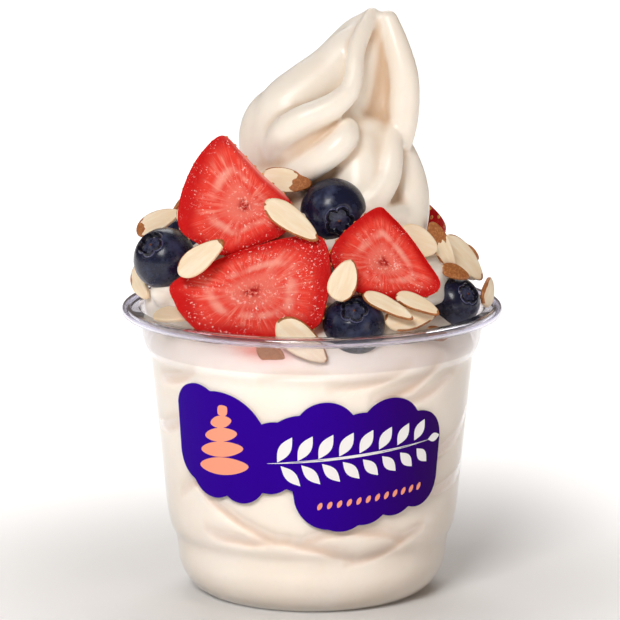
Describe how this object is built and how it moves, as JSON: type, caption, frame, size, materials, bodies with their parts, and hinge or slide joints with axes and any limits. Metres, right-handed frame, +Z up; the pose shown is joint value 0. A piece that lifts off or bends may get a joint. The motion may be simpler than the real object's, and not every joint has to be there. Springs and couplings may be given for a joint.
{
  "type": "frozen yogurt cup",
  "caption": "Clear plastic cup filled with plain frozen yogurt, piped into a tall leaning swirl and heaped with cut strawberries, blueberries and flaked almonds.",
  "frame": {"origin": "centre of the cup's flat base, on the surface it stands on", "axes": "+Z up along the cup's axis; the label faces -Y; +X to the right when facing the label"},
  "size_m": [0.0978, 0.0978, 0.1513],
  "materials": {
    "clear_plastic": "clear, polished",
    "yogurt": "smooth and creamy, slightly wet",
    "label_violet": "satin print",
    "strawberry": "wet cut fruit",
    "blueberry": "waxy bloom",
    "almond": "dry and smooth"
  },
  "bodies": {
    "root": {"cup": "clear_plastic", "yogurt": "yogurt", "label": "label_violet", "strawberry_01": "strawberry", "strawberry_02": "strawberry", "strawberry_03": "strawberry", "strawberry_04": "strawberry", "strawberry_05": "strawberry", "blueberry_01": "blueberry", "blueberry_02": "blueberry", "blueberry_03": "blueberry", "blueberry_04": "blueberry", "blueberry_05": "blueberry", "blueberry_06": "blueberry", "blueberry_07": "blueberry", "almond_01": "almond", "almond_02": "almond", "almond_03": "almond", "almond_04": "almond", "almond_05": "almond", "almond_06": "almond", "almond_07": "almond", "almond_08": "almond", "almond_09": "almond", "almond_10": "almond", "almond_11": "almond", "almond_12": "almond", "almond_13": "almond", "almond_14": "almond", "almond_15": "almond", "almond_16": "almond", "almond_17": "almond", "almond_18": "almond", "almond_19": "almond", "almond_20": "almond", "almond_21": "almond", "almond_22": "almond", "almond_23": "almond", "almond_24": "almond", "almond_25": "almond"}
  },
  "joints": []
}
